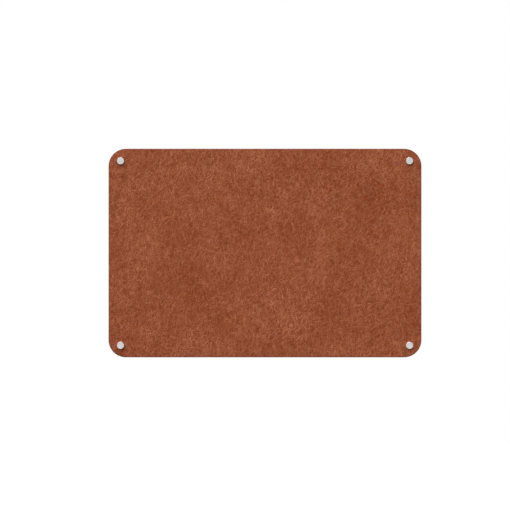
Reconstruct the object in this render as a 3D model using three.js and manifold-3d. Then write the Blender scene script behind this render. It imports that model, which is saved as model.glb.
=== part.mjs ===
// A felt pinboard held off a wall by a turned aluminium standoff at each corner.
//
// Millimetres. The wall's face is the plane Y = 0 and the board hangs in front of it, towards -Y.
// X runs to the right as seen from the front, Z is up, and the origin lies on the wall behind the
// middle of the board. Every round piece is turned about a line that runs along Y, so its outline is
// written as [radius, y] pairs, and its own Y = 0 is the face that it is placed by.

import * as THREE from 'three';
import { mergeVertices } from 'three/addons/utils/BufferGeometryUtils.js';
import Module from 'manifold-3d';

const wasm = await Module();
wasm.setup();

// How far every cutting body runs past the faces that it cuts.
const OVERRUN = 2;

// The board: a pressed felt panel with round corners and one hole for each standoff.
const BOARD_WIDTH = 900;
const BOARD_HEIGHT = 600;
const BOARD_THICKNESS = 12;
const BOARD_CORNER_RADIUS = 50;
const BOARD_HOLE_CLEARANCE = 0.5;
const FIXING_INSET = 35;

// The stud: a headless screw, glued in the cap and screwed into the barrel.
const STUD_DIAMETER = 10;
const STUD_PITCH = 1.5;
const STUD_THREAD_DEPTH = 0.9;
const STUD_ENGAGEMENT = 8;
const STUD_CHAMFER = 1;
const STUD_SOCKET_WIDTH = 5;
const STUD_SOCKET_DEPTH = 5;
const STUD_CLEARANCE = 0.3;

// The cap: a disc with a blind hole for the stud in its back.
const CAP_DIAMETER = 20;
const CAP_HEIGHT = 5;
const CAP_FRONT_CHAMFER = 0.5;
const CAP_BACK_CHAMFER = 0.3;
const CAP_HOLE_DEPTH = 3;

// The washers: soft rings that keep the metal off the felt.
const REAR_WASHER_THICKNESS = 1;
const REAR_WASHER_SETBACK = 0.4;
const FRONT_WASHER_THICKNESS = 1;
const FRONT_WASHER_SETBACK = 0.8;

// The barrel: the spacer, with a relief in its back that clears the rim of the plug.
const BARREL_DIAMETER = 20;
const BARREL_LENGTH = 20;
const BARREL_CHAMFER = 0.5;
const BARREL_HOLE_LAND = 0.8;
const BARREL_RELIEF_DEPTH = 0.5;
const BARREL_RELIEF_MARGIN = 1;

// The wall screw: countersunk, with a cross recess, threaded from its shank to its point.
const SCREW_DIAMETER = 4;
const SCREW_LENGTH = 40;
const SCREW_HEAD_DIAMETER = 8;
const SCREW_HEAD_RIM = 0.4;
const SCREW_SHANK_DIAMETER = 3;
const SCREW_SHANK_LENGTH = 16;
const SCREW_TIP_LENGTH = 5;
const SCREW_TIP_RADIUS = 0.2;
const SCREW_PITCH = 2.2;
const SCREW_THREAD_DEPTH = 0.7;
const SCREW_CLEARANCE = 0.3;
const RECESS_SPAN = 4.2;
const RECESS_WIDTH = 1;
const RECESS_DEPTH = 1.6;

// The wall plug: a sleeve with barbs, slit through its nose so that the screw can spread it.
const PLUG_LENGTH = 30;
const PLUG_WALL = 0.7;
const PLUG_NECK_LENGTH = 6;
const PLUG_NOSE_LENGTH = 4;
const PLUG_NOSE_DRAW = 0.3;
const PLUG_BARB_SPACING = 5;
const PLUG_BARB_HEIGHT = 0.3;
const PLUG_SLIT_WIDTH = 0.8;
const PLUG_SLIT_START = 8;

// Steps round a full turn, by how closely each kind of surface is seen.
const TURNED_SIDES = 32;
const WASHER_SIDES = 24;
const SMALL_SIDES = 12;
const STUD_SIDES = 12;
const SCREW_SIDES = 8;
const HEXAGON_SIDES = 6;
const ARC_SEGMENTS = 10;

// Where the root of each thread starts and ends, as shares of its pitch from one crest to the next.
const STUD_ROOT_SHARES = { start: 0.5, end: 0.5 };
const SCREW_ROOT_SHARES = { start: 0.25, end: 0.75 };

// Radii and places that follow from the sizes above.
const studRadius = STUD_DIAMETER / 2;
const studHoleRadius = studRadius + STUD_CLEARANCE;
const boardHoleRadius = studRadius + BOARD_HOLE_CLEARANCE;
const capRadius = CAP_DIAMETER / 2;
const barrelRadius = BARREL_DIAMETER / 2;
const screwRadius = SCREW_DIAMETER / 2;
const screwHoleRadius = screwRadius + SCREW_CLEARANCE;
const headRadius = SCREW_HEAD_DIAMETER / 2;
const countersinkRadius = headRadius + SCREW_CLEARANCE;
const plugRadius = screwHoleRadius + PLUG_WALL;

const landEndY = -BARREL_RELIEF_DEPTH - BARREL_HOLE_LAND;
const headRimY = landEndY - (countersinkRadius - screwHoleRadius);
const headTopY = headRimY - SCREW_HEAD_RIM;
const barrelFloorY = headTopY - SCREW_CLEARANCE;
const barrelMouthY = -BARREL_LENGTH;
const boardBackY = barrelMouthY - REAR_WASHER_THICKNESS;
const boardFrontY = boardBackY - BOARD_THICKNESS;
const capBackY = boardFrontY - FRONT_WASHER_THICKNESS;
const studRearY = barrelMouthY + STUD_ENGAGEMENT;
const studLength = studRearY - capBackY + CAP_HOLE_DEPTH;

const corners = [
  { name: 'top_left', side: -1, up: 1 },
  { name: 'top_right', side: 1, up: 1 },
  { name: 'bottom_left', side: -1, up: -1 },
  { name: 'bottom_right', side: 1, up: -1 },
].map(({ name, side, up }) => ({
  name,
  x: side * (BOARD_WIDTH / 2 - FIXING_INSET),
  z: up * (BOARD_HEIGHT / 2 - FIXING_INSET),
}));

// Finishes.
const finishes = {
  felt: new THREE.MeshStandardMaterial({ color: '#924f34', roughness: 1, metalness: 0 }),
  anodised: new THREE.MeshStandardMaterial({ color: '#cbcbcb', roughness: 0.4, metalness: 1 }),
  steel: new THREE.MeshStandardMaterial({ color: '#b9bcbe', roughness: 0.35, metalness: 1 }),
  washer: new THREE.MeshStandardMaterial({ color: '#dfe3e4', roughness: 0.5, metalness: 0 }),
  plug: new THREE.MeshStandardMaterial({ color: '#9a9d9f', roughness: 0.6, metalness: 0 }),
};

// Turns an outline of [radius, y] pairs about the Y axis. The pairs run anticlockwise, with the radius
// to the right and Y up. An outline that starts off the axis is a ring and closes on itself.
function turned(outline, sides) {
  const isRing = outline[0][0] > 0;
  const pairs = isRing ? [...outline, outline[0]] : outline;
  return new THREE.LatheGeometry(pairs.map(([radius, y]) => new THREE.Vector2(radius, y)), sides);
}

// Makes a closed geometry a solid that can be cut and joined.
function solid(geometry) {
  const bare = geometry.clone();
  bare.deleteAttribute('normal');
  bare.deleteAttribute('uv');
  const merged = mergeVertices(bare);
  return new wasm.Manifold(new wasm.Mesh({
    numProp: 3,
    vertProperties: new Float32Array(merged.attributes.position.array),
    triVerts: new Uint32Array(merged.index.array),
  }));
}

// Makes a solid a geometry again.
function geometryOf(body) {
  const mesh = body.getMesh();
  const geometry = new THREE.BufferGeometry();
  geometry.setAttribute('position', new THREE.BufferAttribute(mesh.vertProperties, 3));
  geometry.setIndex(new THREE.BufferAttribute(mesh.triVerts, 1));
  geometry.computeVertexNormals();
  return geometry;
}

// A right-hand threaded rod along Y that is whole between `from` and `to`. Its rows of points climb one
// pitch in each turn, so the point after the last one of a turn is the first one a turn further on.
// Both ends are ragged, and whoever uses the rod trims them.
function threadedRod({ crestRadius, depth, pitch, rootShares, sides, from, to }) {
  const outline = [
    { radius: crestRadius, share: 0 },
    { radius: crestRadius - depth, share: rootShares.start },
  ];
  if (rootShares.end > rootShares.start) {
    outline.push({ radius: crestRadius - depth, share: rootShares.end });
  }
  const rowsPerTurn = outline.length;
  const start = from - pitch;
  const turns = Math.ceil((to - start) / pitch);
  const lastRow = turns * rowsPerTurn;

  const positions = [];
  for (let row = 0; row <= lastRow + rowsPerTurn; row += 1) {
    const { radius, share } = outline[row % rowsPerTurn];
    for (let column = 0; column < sides; column += 1) {
      const turn = column / sides;
      const angle = turn * 2 * Math.PI;
      const y = start + (Math.floor(row / rowsPerTurn) + share + turn) * pitch;
      positions.push(radius * Math.cos(angle), y, -radius * Math.sin(angle));
    }
  }

  const pointAt = (column, row) => (
    column < sides ? row * sides + column : (row + rowsPerTurn) * sides
  );
  const faces = [];
  for (let row = 0; row < lastRow; row += 1) {
    for (let column = 0; column < sides; column += 1) {
      const corner = pointAt(column, row);
      const opposite = pointAt(column + 1, row + 1);
      faces.push(corner, pointAt(column + 1, row), opposite);
      faces.push(corner, opposite, pointAt(column, row + 1));
    }
  }

  // A fan from a point on the axis closes each end: it goes round one turn and back along one step.
  const closeEnd = (row, apexY, order) => {
    const rim = [];
    for (let column = 0; column < sides; column += 1) rim.push(pointAt(column, row));
    for (let step = rowsPerTurn; step > 0; step -= 1) rim.push(pointAt(0, row + step));
    const apex = positions.length / 3;
    positions.push(0, apexY, 0);
    rim.forEach((point, index) => faces.push(apex, ...order(point, rim[(index + 1) % rim.length])));
  };
  closeEnd(0, start, (point, next) => [next, point]);
  closeEnd(lastRow, start + (turns + 1) * pitch, (point, next) => [point, next]);

  const geometry = new THREE.BufferGeometry();
  geometry.setAttribute('position', new THREE.Float32BufferAttribute(positions, 3));
  geometry.setIndex(faces);
  return solid(geometry);
}

// The felt board, drawn as seen from the front and then stood up with its front face to -Y. It is laid
// out as a rim, which carries the round corners and the holes, and the clear middle between the
// standoffs, so that the middle's faces are plain rectangles once the two are joined.
function boardGeometry() {
  const right = BOARD_WIDTH / 2;
  const top = BOARD_HEIGHT / 2;
  const arcX = right - BOARD_CORNER_RADIUS;
  const arcY = top - BOARD_CORNER_RADIUS;
  const quarter = Math.PI / 2;
  const rim = new THREE.Shape();
  rim.absarc(arcX, arcY, BOARD_CORNER_RADIUS, 0, quarter);
  rim.absarc(-arcX, arcY, BOARD_CORNER_RADIUS, quarter, 2 * quarter);
  rim.absarc(-arcX, -arcY, BOARD_CORNER_RADIUS, 2 * quarter, 3 * quarter);
  rim.absarc(arcX, -arcY, BOARD_CORNER_RADIUS, 3 * quarter, 4 * quarter);
  rim.closePath();

  const middleX = right - 2 * FIXING_INSET;
  const middleY = top - 2 * FIXING_INSET;
  const middle = new THREE.Shape([
    new THREE.Vector2(-middleX, -middleY),
    new THREE.Vector2(middleX, -middleY),
    new THREE.Vector2(middleX, middleY),
    new THREE.Vector2(-middleX, middleY),
  ]);
  const holes = corners.map(({ x, z }) => (
    new THREE.Path().absarc(x, z, boardHoleRadius, 0, 2 * Math.PI, true)
  ));
  rim.holes = [middle, ...holes];

  const depth = { depth: BOARD_THICKNESS, bevelEnabled: false, curveSegments: ARC_SEGMENTS };
  const joined = solid(new THREE.ExtrudeGeometry(rim, depth))
    .add(solid(new THREE.ExtrudeGeometry(middle, depth)));
  return geometryOf(joined).rotateX(quarter);
}

// A soft washer, from Y = 0 to Y = -thickness.
function washerGeometry(outerRadius, thickness) {
  return turned([
    [boardHoleRadius, -thickness],
    [outerRadius, -thickness],
    [outerRadius, 0],
    [boardHoleRadius, 0],
  ], WASHER_SIDES);
}

// The barrel stands on the wall at Y = 0 and opens at its mouth, where the stud goes in.
function barrelGeometry() {
  const reliefRadius = plugRadius + BARREL_RELIEF_MARGIN;
  return turned([
    [studHoleRadius, barrelMouthY],
    [barrelRadius - BARREL_CHAMFER, barrelMouthY],
    [barrelRadius, barrelMouthY + BARREL_CHAMFER],
    [barrelRadius, -BARREL_CHAMFER],
    [barrelRadius - BARREL_CHAMFER, 0],
    [reliefRadius, 0],
    [reliefRadius, -BARREL_RELIEF_DEPTH],
    [screwHoleRadius, -BARREL_RELIEF_DEPTH],
    [screwHoleRadius, landEndY],
    [countersinkRadius, headRimY],
    [countersinkRadius, barrelFloorY],
    [studHoleRadius, barrelFloorY],
  ], TURNED_SIDES);
}

// The cap, from its back face at Y = 0 to its front face at Y = -CAP_HEIGHT.
function capGeometry() {
  return turned([
    [0, -CAP_HEIGHT],
    [capRadius - CAP_FRONT_CHAMFER, -CAP_HEIGHT],
    [capRadius, -CAP_HEIGHT + CAP_FRONT_CHAMFER],
    [capRadius, -CAP_BACK_CHAMFER],
    [capRadius - CAP_BACK_CHAMFER, 0],
    [studHoleRadius, 0],
    [studHoleRadius, -CAP_HOLE_DEPTH],
    [0, -CAP_HOLE_DEPTH],
  ], TURNED_SIDES);
}

// The stud, from its rear end at Y = 0, where its hexagon socket is, to Y = -studLength in the cap.
// The blank is wider than the crests between its two chamfers, so it only trims the rod's ends.
function studGeometry() {
  const endRadius = studRadius - STUD_CHAMFER;
  const chamferReach = studHoleRadius - endRadius;
  const blank = turned([
    [0, -studLength],
    [endRadius, -studLength],
    [studHoleRadius, -studLength + chamferReach],
    [studHoleRadius, -chamferReach],
    [endRadius, 0],
    [0, 0],
  ], STUD_SIDES);
  const rod = threadedRod({
    crestRadius: studRadius,
    depth: STUD_THREAD_DEPTH,
    pitch: STUD_PITCH,
    rootShares: STUD_ROOT_SHARES,
    sides: STUD_SIDES,
    from: -studLength,
    to: 0,
  });
  const socketRadius = STUD_SOCKET_WIDTH / 2 / Math.cos(Math.PI / HEXAGON_SIDES);
  const socketLength = STUD_SOCKET_DEPTH + OVERRUN;
  const socket = new THREE.CylinderGeometry(socketRadius, socketRadius, socketLength, HEXAGON_SIDES);
  socket.translate(0, OVERRUN - socketLength / 2, 0);
  return geometryOf(rod.intersect(solid(blank)).subtract(solid(socket)));
}

// The wall screw, from the top of its head at Y = 0 to its point at Y = SCREW_LENGTH. As on the stud,
// the blank of the threaded part is wider than the crests, and only forms the point.
function screwGeometry() {
  const shankRadius = SCREW_SHANK_DIAMETER / 2;
  const coneEndY = SCREW_HEAD_RIM + headRadius - shankRadius;
  const head = turned([
    [0, 0],
    [headRadius, 0],
    [headRadius, SCREW_HEAD_RIM],
    [shankRadius, coneEndY],
    [shankRadius, SCREW_SHANK_LENGTH + SCREW_PITCH],
    [0, SCREW_SHANK_LENGTH + SCREW_PITCH],
  ], SMALL_SIDES);
  const tipSlope = (screwRadius - SCREW_TIP_RADIUS) / SCREW_TIP_LENGTH;
  const blank = turned([
    [0, SCREW_SHANK_LENGTH],
    [shankRadius, SCREW_SHANK_LENGTH],
    [screwHoleRadius, SCREW_SHANK_LENGTH + screwHoleRadius - shankRadius],
    [screwHoleRadius, SCREW_LENGTH - (screwHoleRadius - SCREW_TIP_RADIUS) / tipSlope],
    [SCREW_TIP_RADIUS, SCREW_LENGTH],
    [0, SCREW_LENGTH],
  ], SCREW_SIDES);
  const rod = threadedRod({
    crestRadius: screwRadius,
    depth: SCREW_THREAD_DEPTH,
    pitch: SCREW_PITCH,
    rootShares: SCREW_ROOT_SHARES,
    sides: SCREW_SIDES,
    from: SCREW_SHANK_LENGTH,
    to: SCREW_LENGTH,
  });
  const arm = new THREE.BoxGeometry(RECESS_SPAN, RECESS_DEPTH + OVERRUN, RECESS_WIDTH);
  arm.translate(0, (RECESS_DEPTH - OVERRUN) / 2, 0);
  const recess = solid(arm).add(solid(arm.clone().rotateY(Math.PI / 2)));
  return geometryOf(rod.intersect(solid(blank)).add(solid(head)).subtract(recess));
}

// The wall plug, from its mouth at Y = 0 to its nose at Y = PLUG_LENGTH. Each barb narrows towards the
// nose and ends in a step that faces the mouth, so it slides in and doesn't pull out.
function plugGeometry() {
  const barbStart = PLUG_NECK_LENGTH;
  const noseStart = PLUG_LENGTH - PLUG_NOSE_LENGTH;
  const barbCount = Math.floor((noseStart - barbStart) / PLUG_BARB_SPACING);
  const barbs = Array.from({ length: barbCount }, (unused, index) => {
    const y = barbStart + (index + 1) * PLUG_BARB_SPACING;
    return [[plugRadius - PLUG_BARB_HEIGHT, y], [plugRadius, y]];
  }).flat();
  const sleeve = turned([
    [screwHoleRadius, 0],
    [plugRadius, 0],
    [plugRadius, barbStart],
    ...barbs,
    [plugRadius - PLUG_NOSE_DRAW, PLUG_LENGTH],
    [screwHoleRadius, PLUG_LENGTH],
  ], SMALL_SIDES);
  const slitLength = PLUG_LENGTH - PLUG_SLIT_START + OVERRUN;
  const slit = new THREE.BoxGeometry(2 * (plugRadius + OVERRUN), slitLength, PLUG_SLIT_WIDTH);
  slit.translate(0, PLUG_SLIT_START + slitLength / 2, 0);
  return geometryOf(solid(sleeve).subtract(solid(slit)));
}

function piece(name, geometry, finish, y) {
  const mesh = new THREE.Mesh(geometry, finish);
  mesh.name = name;
  mesh.position.y = y;
  return mesh;
}

const pinboard = new THREE.Group();
pinboard.name = 'pinboard';
pinboard.add(piece('felt_board', boardGeometry(), finishes.felt, boardBackY));

// The pieces of one standoff, from the wall to the front, made once and used at every corner.
const rearWasherRadius = barrelRadius - REAR_WASHER_SETBACK;
const frontWasherRadius = capRadius - FRONT_WASHER_SETBACK;
const standoffPieces = [
  { name: 'wall_plug', shape: plugGeometry(), finish: finishes.plug, y: 0 },
  { name: 'wall_screw', shape: screwGeometry(), finish: finishes.steel, y: headTopY },
  { name: 'barrel', shape: barrelGeometry(), finish: finishes.anodised, y: 0 },
  {
    name: 'rear_washer',
    shape: washerGeometry(rearWasherRadius, REAR_WASHER_THICKNESS),
    finish: finishes.washer,
    y: barrelMouthY,
  },
  {
    name: 'front_washer',
    shape: washerGeometry(frontWasherRadius, FRONT_WASHER_THICKNESS),
    finish: finishes.washer,
    y: boardFrontY,
  },
  { name: 'stud', shape: studGeometry(), finish: finishes.steel, y: studRearY },
  { name: 'cap', shape: capGeometry(), finish: finishes.anodised, y: capBackY },
];

corners.forEach(({ name: cornerName, x, z }) => {
  const standoff = new THREE.Group();
  standoff.position.set(x, 0, z);
  standoffPieces.forEach(({ name, shape, finish, y }) => {
    standoff.add(piece(`${name}_${cornerName}`, shape, finish, y));
  });
  pinboard.add(standoff);
});

export default pinboard;
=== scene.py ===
# %% [markdown]
# # A felt pinboard held off the wall by four turned standoffs
# The board is one slab of needle-punched polyester felt with round corners. At each corner a turned
# aluminium barrel is screwed to the wall, and a flat cap with a threaded stud clamps the felt to it.
# The measured model of the object is loaded first, and nothing in it is moved or changed. Each of its
# plain solids is then replaced by a finer piece that stands in the same place and rides on the same
# body, so that a cap still unscrews after it has been dressed. Blender counts in metres, so a length in
# millimetres is multiplied by MM.

# %% Load the measured model
import math

import bmesh
import bpy
from mathutils import Matrix, Vector


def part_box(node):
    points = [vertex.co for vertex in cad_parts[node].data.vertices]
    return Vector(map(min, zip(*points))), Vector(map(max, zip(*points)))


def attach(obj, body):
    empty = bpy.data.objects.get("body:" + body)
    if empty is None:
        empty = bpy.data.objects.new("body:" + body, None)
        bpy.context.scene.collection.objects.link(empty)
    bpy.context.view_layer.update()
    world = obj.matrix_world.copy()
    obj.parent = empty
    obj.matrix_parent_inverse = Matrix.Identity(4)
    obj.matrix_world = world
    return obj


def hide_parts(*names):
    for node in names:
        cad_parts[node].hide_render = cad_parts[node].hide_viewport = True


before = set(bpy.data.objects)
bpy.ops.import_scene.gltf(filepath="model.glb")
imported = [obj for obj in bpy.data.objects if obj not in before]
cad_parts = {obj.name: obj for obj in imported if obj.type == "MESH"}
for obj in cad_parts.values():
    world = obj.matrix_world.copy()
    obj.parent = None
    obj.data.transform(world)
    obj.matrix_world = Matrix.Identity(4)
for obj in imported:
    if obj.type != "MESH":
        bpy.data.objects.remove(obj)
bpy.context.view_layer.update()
MM = 0.001

# %% [markdown]
# ## Where the pieces are
# Places and outer sizes are read from the model, so they can't drift away from it. A standoff is known
# by the middle of its cap. Depths are read along Y: the wall is at 0, and the front of the board, which
# faces the viewer, lies towards -Y.

# %% Read the places
CORNERS = ("top_left", "top_right", "bottom_left", "bottom_right")
board_low, board_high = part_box("felt_board")
board_middle = (board_low + board_high) / 2
board_size = board_high - board_low


def middle_of(node):
    """The line that a round piece is turned about, as a point on the wall's face."""
    low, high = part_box(node)
    return Vector(((low.x + high.x) / 2, 0.0, (low.z + high.z) / 2))


def turned_size(node):
    """Outer radius, front and back of a round piece, in millimetres."""
    low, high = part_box(node)
    return (high.x - low.x) / 2 / MM, low.y / MM, high.y / MM


axes = {corner: middle_of(f"cap_{corner}") for corner in CORNERS}
for corner, axis in axes.items():
    print(corner, "standoff at", round(axis.x / MM, 1), round(axis.z / MM, 1), "mm")

# %% [markdown]
# ## The camera
# The photograph looks straight at the board. Its frame is 510 pixels wide, and the board's left and
# right edges are 313 pixels apart in it, which gives the metres that one pixel covers at the board's
# front face. The distance follows from that and from the lens. A long lens keeps the far edges of the
# standoffs hidden, as they are in the photograph. The camera moves sideways, instead of shifting its
# lens, to put the board's middle where the photograph has it.

# %% Place the camera
PICTURE_SIDE = 510
BOARD_LEFT, BOARD_RIGHT = 108.5, 421.5
BOARD_TOP, BOARD_BOTTOM = 148.7, 357.4
LENS, SENSOR = 85.0, 36.0

pixel = board_size.x / (BOARD_RIGHT - BOARD_LEFT)
distance = PICTURE_SIDE * pixel * LENS / SENSOR
right_of_centre = (BOARD_LEFT + BOARD_RIGHT - PICTURE_SIDE) / 2 * pixel
above_centre = (PICTURE_SIDE - BOARD_TOP - BOARD_BOTTOM) / 2 * pixel

camera_data = bpy.data.cameras.new("camera")
camera_data.lens = LENS
camera_data.sensor_width = SENSOR
camera = bpy.data.objects.new("camera", camera_data)
camera.location = (
    board_middle.x - right_of_centre,
    board_low.y - distance,
    board_middle.z - above_centre,
)
camera.rotation_euler = (math.pi / 2, 0.0, 0.0)
bpy.context.scene.collection.objects.link(camera)
bpy.context.scene.camera = camera
bpy.context.scene.view_settings.view_transform = "Standard"
print("camera", round(distance, 3), "m from the felt, one pixel is", round(pixel / MM, 2), "mm")

# %% [markdown]
# ## Two helpers for node trees
# Colours are written as the sRGB hex values that a colour picker shows, but shaders count light, so one
# function turns them into linear values. The other one adds a node, sets it up and wires it, which
# keeps each tree below as short as its idea. An input is given by its name, or by its number, since
# some nodes have several of one name. In a Mix node for colours, 6 and 7 are the two colours, and the
# mixed colour comes out at 2.

# %% Colour and node helpers
def linear(hex_colour):
    """An sRGB hex colour as the linear red, green, blue and alpha that a socket takes."""
    srgb = [int(hex_colour[place:place + 2], 16) / 255 for place in (1, 3, 5)]
    shares = [c / 12.92 if c <= 0.04045 else ((c + 0.055) / 1.055) ** 2.4 for c in srgb]
    return (*shares, 1.0)


def add(tree, kind, inputs=None, **settings):
    """Adds a node with its settings. Each input gets a value, or a link from a socket or a node."""
    node = tree.nodes.new(kind)
    for name, value in settings.items():
        setattr(node, name, value)
    for key, value in (inputs or {}).items():
        if isinstance(value, bpy.types.Node):
            value = value.outputs[0]
        if isinstance(value, bpy.types.NodeSocket):
            tree.links.new(value, node.inputs[key])
        else:
            node.inputs[key].default_value = value
    return node


print("felt brown in linear light:", [round(share, 3) for share in linear("#924F34")])

# %% [markdown]
# ## A plain studio
# The photograph shows the board on plain white, in soft light from above and a little to the left.
# The world is pale and lights everything evenly. One wide, soft sun from above puts the small shadow
# under each cap, and a weaker one reaches the back. Together they light the felt so that it renders
# about as its colour is written. The white ground comes from Light Path: the camera and the reflections
# see the world at a strength of 1, while surfaces are lit by the dimmer one. More light on the object
# would whiten the ground too, but it would bleach the felt.

# %% World and lamps
AMBIENT = 0.36
SUNS = (
    # name, strength, where it comes from
    ("soft sun", 4.4, Vector((-0.25, -0.48, 0.88))),
    ("back sun", 2.0, Vector((0.3, 0.7, 0.6))),
)
SUN_ANGLE = math.radians(60)


def looked_at(tree):
    """1 where the camera or a reflection looks, and 0 for the light that falls on other things."""
    path = add(tree, "ShaderNodeLightPath")
    mirrored = add(tree, "ShaderNodeMath", {0: path.outputs["Is Glossy Ray"],
                                            1: path.outputs["Is Transmission Ray"]}, operation="MAXIMUM")
    return add(tree, "ShaderNodeMath", {0: path.outputs["Is Camera Ray"], 1: mirrored},
               operation="MAXIMUM")


world = bpy.data.worlds.new("white studio")
world.use_nodes = True
tree = world.node_tree
tree.nodes.clear()
dim = add(tree, "ShaderNodeBackground", {"Color": linear("#FFFFFF"), "Strength": AMBIENT})
white = add(tree, "ShaderNodeBackground", {"Color": linear("#FFFFFF"), "Strength": 1.0})
both = add(tree, "ShaderNodeMixShader", {0: looked_at(tree), 1: dim, 2: white})
add(tree, "ShaderNodeOutputWorld", {"Surface": both})
bpy.context.scene.world = world

for name, strength, source in SUNS:
    sun_data = bpy.data.lights.new(name, "SUN")
    sun_data.energy = strength
    sun_data.angle = SUN_ANGLE
    sun = bpy.data.objects.new(name, sun_data)
    sun.rotation_euler = source.to_track_quat("Z", "Y").to_euler()
    bpy.context.scene.collection.objects.link(sun)
print("lamps:", [name for name, strength, source in SUNS], "and a world of strength", AMBIENT)

# %% [markdown]
# ## Pieces and materials
# A mesh is only data until an object puts it into the scene. A material starts as one Principled shader,
# and what is the same all over a surface is set on that shader's own sockets, where an exporter finds
# it. Only what changes from place to place gets nodes.

# %% Helpers for pieces and materials
def shown(name, mesh):
    """An object that puts a mesh into the scene."""
    piece = bpy.data.objects.new(name, mesh)
    bpy.context.scene.collection.objects.link(piece)
    return piece


def plain_material(name, colour, **inputs):
    """A material with one Principled shader, and the colour and numbers on its own sockets."""
    material = bpy.data.materials.new(name)
    material.use_nodes = True
    shader = material.node_tree.nodes["Principled BSDF"]
    shader.inputs["Base Color"].default_value = linear(colour)
    for socket, value in inputs.items():
        shader.inputs[socket.replace("_", " ")].default_value = value
    return material, material.node_tree, shader


# %% [markdown]
# ## A floor
# Matt white floor paint gives the eye a pale, even ground with no highlight, which keeps the object's
# shadow. A real floor this pale would throw so much light up at the board that the shadows under the
# caps would fill. So the paint is pale where the camera or a reflection looks at it, and grey to the
# light that bounces off it. It lies 1.5 m under the board's middle, the height at which such a board
# is hung.

# %% Floor
HANGING_HEIGHT = 1.5
FLOOR_SIDE = 12.0
FLOOR_SEEN, FLOOR_BOUNCED = "#E2E2E2", "#6E6E6E"
SQUARE = ((-1, -1), (1, -1), (1, 1), (-1, 1))

level = board_middle.z - HANGING_HEIGHT
reach = FLOOR_SIDE / 2
floor_mesh = bpy.data.meshes.new("floor")
floor_mesh.from_pydata([(x * reach, y * reach, level) for x, y in SQUARE], [], [(0, 1, 2, 3)])
floor = shown("floor", floor_mesh)
paint, tree, shader = plain_material("matt white floor paint", FLOOR_SEEN, Roughness=0.9,
                                     Specular_IOR_Level=0.1)
shade = add(tree, "ShaderNodeMix", {0: looked_at(tree), 6: linear(FLOOR_BOUNCED),
                                    7: linear(FLOOR_SEEN)}, data_type="RGBA")
tree.links.new(shade.outputs[2], shader.inputs["Base Color"])
floor_mesh.materials.append(paint)
print("floor", HANGING_HEIGHT, "m below the board's middle")

# %% [markdown]
# ## Felt
# Needle-punched polyester felt is a mat of crimped fibres in several brown shades, tangled by thousands
# of barbed needles and pressed into a stiff board. It gives the eye slow clouds where the mat is a
# little thicker, tufts of a lighter or darker shade, fine fibres that run in all directions, and a dry
# surface with no highlight but a soft sheen at a glancing angle. Small dark specks are partly darker
# fibres and partly painted shade in the dimples between tufts. A picture of felt would repeat and
# would have to be bent round the edge. Layers of noise don't repeat and run through the slab, so the
# cut edge belongs to the face.
#
# A strand is a noise that is stretched along one direction and kept only where it is high, and several
# directions together look tangled. The sizes below are those of tufts, the small bundles that fibres
# gather in. Single fibres are about 0.03 mm thick, far too fine to show, so the finest layers are drawn
# more than ten times as thick.

# %% Shades and layers of the felt
FELT_DEEP, FELT_BASE = "#742801", "#8C431C"
FELT_LIGHT, FELT_DARK = "#BF7756", "#6C2400"
FELT_SHEEN = "#E0B8A4"
CLOUD_SIZE = 130 * MM
TUFTS = (
    # direction in degrees, length and width in mm, shade, share, and the noise where it begins and is full
    (85, 30.0, 7.0, FELT_DARK, 0.60, 0.48, 0.72),
    (100, 36.0, 6.0, FELT_LIGHT, 0.32, 0.52, 0.76),
    (-35, 20.0, 6.0, FELT_DARK, 0.46, 0.50, 0.72),
    (20, 24.0, 5.0, FELT_LIGHT, 0.25, 0.52, 0.76),
    # the short dark specks are partly darker fibres and partly painted shade in the dimples between tufts
    (60, 4.6, 2.0, FELT_DARK, 0.95, 0.56, 0.68),
    (80, 22.0, 1.4, FELT_LIGHT, 0.80, 0.58, 0.70),
    (-60, 4.4, 1.9, FELT_DARK, 0.90, 0.57, 0.68),
    (-15, 18.0, 1.3, FELT_LIGHT, 0.75, 0.59, 0.70),
    (125, 20.0, 1.3, FELT_LIGHT, 0.75, 0.59, 0.70),
)
FINE_FIBRES = (
    (65, 7.0, 0.45, FELT_DARK, 0.33, 0.50, 0.72),
    (10, 7.0, 0.40, FELT_LIGHT, 0.25, 0.52, 0.70),
    (120, 6.0, 0.45, FELT_DARK, 0.33, 0.50, 0.72),
    (-50, 7.0, 0.40, FELT_LIGHT, 0.25, 0.52, 0.70),
    (85, 7.0, 0.40, FELT_LIGHT, 0.25, 0.52, 0.70),
)
print("felt with", len(TUFTS), "layers of tufts and", len(FINE_FIBRES), "of fine fibres")

# %% [markdown]
# The clouds come first, as one large noise that drifts between a deep and a plain brown. A noise's
# colour holds three unrelated noises, so its green one can strew the lighter strands unevenly, as they
# gather in a real mat, without a second noise. A noise keeps near its middle, so only the band that it
# often reaches is spread over the shades.

# %% Felt clouds
CLOUD_BAND = (0.24, 0.76)
PATCH_BAND = (0.35, 0.65)
FEWEST, MOST = 0.65, 1.3

felt, tree, shader = plain_material("needle-punched polyester felt", FELT_BASE, Roughness=0.95,
                                    Specular_IOR_Level=0.2, Sheen_Weight=0.1, Sheen_Roughness=0.5,
                                    Sheen_Tint=linear(FELT_SHEEN))
place = add(tree, "ShaderNodeTexCoord").outputs["Object"]
clouds = add(tree, "ShaderNodeTexNoise", {"Vector": place, "Scale": 1 / CLOUD_SIZE, "Detail": 4.0,
                                          "Roughness": 0.6})
cloud_share = add(tree, "ShaderNodeMapRange", {"Value": clouds, "From Min": CLOUD_BAND[0],
                                               "From Max": CLOUD_BAND[1]})
patches = add(tree, "ShaderNodeSeparateColor", {0: clouds.outputs["Color"]}).outputs["Green"]
plenty = add(tree, "ShaderNodeMapRange", {"Value": patches, "From Min": PATCH_BAND[0],
                                          "From Max": PATCH_BAND[1], "To Min": FEWEST,
                                          "To Max": MOST})
colour = add(tree, "ShaderNodeMix", {0: cloud_share, 6: linear(FELT_DEEP), 7: linear(FELT_BASE)},
             data_type="RGBA").outputs[2]
print("clouds of about", round(CLOUD_SIZE / MM), "mm")

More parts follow.
